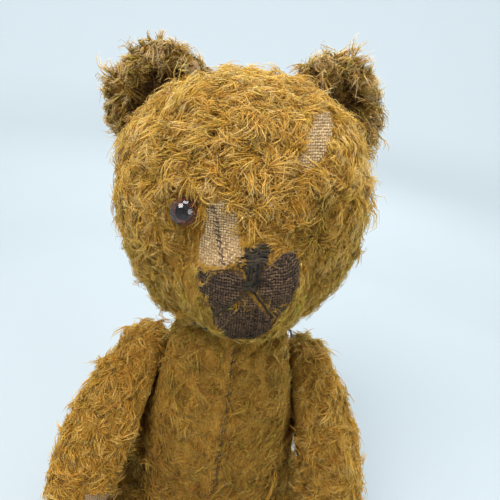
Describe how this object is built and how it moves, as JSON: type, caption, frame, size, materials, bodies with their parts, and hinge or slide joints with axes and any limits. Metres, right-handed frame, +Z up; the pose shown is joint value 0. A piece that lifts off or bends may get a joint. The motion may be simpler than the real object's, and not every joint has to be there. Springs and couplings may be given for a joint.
{
  "type": "jointed teddy bear",
  "caption": "Seated antique mohair teddy bear with cupped ears, glass eye, stitched nose, and disc joints that let the head, arms and legs turn.",
  "frame": {"origin": "middle of the flat seat under the torso, on the surface the bear sits on", "axes": "+Z up through the neck, the bear faces -Y, +X is the bear's own left side"},
  "size_m": [0.1755, 0.2035, 0.3037],
  "materials": {
    "mohair": "worn, matted, curly golden-brown mohair pile on a woven backing",
    "ear_mohair": "shaggy olive-brown mohair pile",
    "pad_cloth": "worn light brown woven cloth",
    "wood_wool": "packed fine wood shavings",
    "hardboard": "smooth pressed fibre board",
    "steel": "dull zinc-plated steel",
    "eye_glass": "polished dark brown glass",
    "eye_pupil": "black glass pupil",
    "face_thread": "worn charcoal embroidery thread",
    "neck_thread": "dull blue-grey waxed thread"
  },
  "bodies": {
    "arm_left": {"arm_left_inner_panel": "mohair", "arm_left_outer_panel": "mohair", "arm_left_paw_pad": "pad_cloth", "arm_left_stuffing": "wood_wool", "shoulder_left_disc": "hardboard", "shoulder_left_pin": "steel", "shoulder_left_washer": "steel"},
    "arm_right": {"arm_right_inner_panel": "mohair", "arm_right_outer_panel": "mohair", "arm_right_paw_pad": "pad_cloth", "arm_right_stuffing": "wood_wool", "shoulder_right_disc": "hardboard", "shoulder_right_pin": "steel", "shoulder_right_washer": "steel"},
    "head": {"ear_back_left": "ear_mohair", "ear_back_right": "ear_mohair", "ear_front_left": "ear_mohair", "ear_front_right": "ear_mohair", "eye_glass": "eye_glass", "eye_pupil": "eye_pupil", "eye_wire_loop": "steel", "head_gusset": "mohair", "head_side_left": "mohair", "head_side_right": "mohair", "head_stuffing": "wood_wool", "mouth_stitching": "face_thread", "neck_disc": "hardboard", "neck_pin": "steel", "neck_thread": "neck_thread", "neck_washer": "steel", "nose_stitching": "face_thread"},
    "leg_left": {"hip_left_disc": "hardboard", "hip_left_pin": "steel", "hip_left_washer": "steel", "leg_left_foot_pad": "pad_cloth", "leg_left_inner_panel": "mohair", "leg_left_outer_panel": "mohair", "leg_left_stuffing": "wood_wool"},
    "torso": {"hip_left_torso_disc": "hardboard", "hip_left_torso_washer": "steel", "hip_right_torso_disc": "hardboard", "hip_right_torso_washer": "steel", "neck_torso_disc": "hardboard", "neck_torso_washer": "steel", "shoulder_left_torso_disc": "hardboard", "shoulder_left_torso_washer": "steel", "shoulder_right_torso_disc": "hardboard", "shoulder_right_torso_washer": "steel", "torso_panel_left": "mohair", "torso_panel_right": "mohair", "torso_stuffing": "wood_wool"},
    "leg_right": {"hip_right_disc": "hardboard", "hip_right_pin": "steel", "hip_right_washer": "steel", "leg_right_foot_pad": "pad_cloth", "leg_right_inner_panel": "mohair", "leg_right_outer_panel": "mohair", "leg_right_stuffing": "wood_wool"}
  },
  "joints": [
    {"name": "neck_turn", "type": "hinge", "parent": "torso", "child": "head", "pos_m": [0, 0, 0.175], "axis": [0, 0, 1], "continuous": true},
    {"name": "shoulder_left_swing", "type": "hinge", "parent": "torso", "child": "arm_left", "pos_m": [0.038, 0, 0.13], "axis": [-0.9659, 0, -0.2588], "range_deg": [-137, 93]},
    {"name": "shoulder_right_swing", "type": "hinge", "parent": "torso", "child": "arm_right", "pos_m": [-0.038, 0, 0.13], "axis": [-0.9659, 0, 0.2588], "range_deg": [-143, 87]},
    {"name": "hip_left_swing", "type": "hinge", "parent": "torso", "child": "leg_left", "pos_m": [0.035, 0, 0.027], "axis": [1, 0, 0], "range_deg": [0, 180]},
    {"name": "hip_right_swing", "type": "hinge", "parent": "torso", "child": "leg_right", "pos_m": [-0.035, 0, 0.027], "axis": [1, 0, 0], "range_deg": [0, 180]}
  ]
}
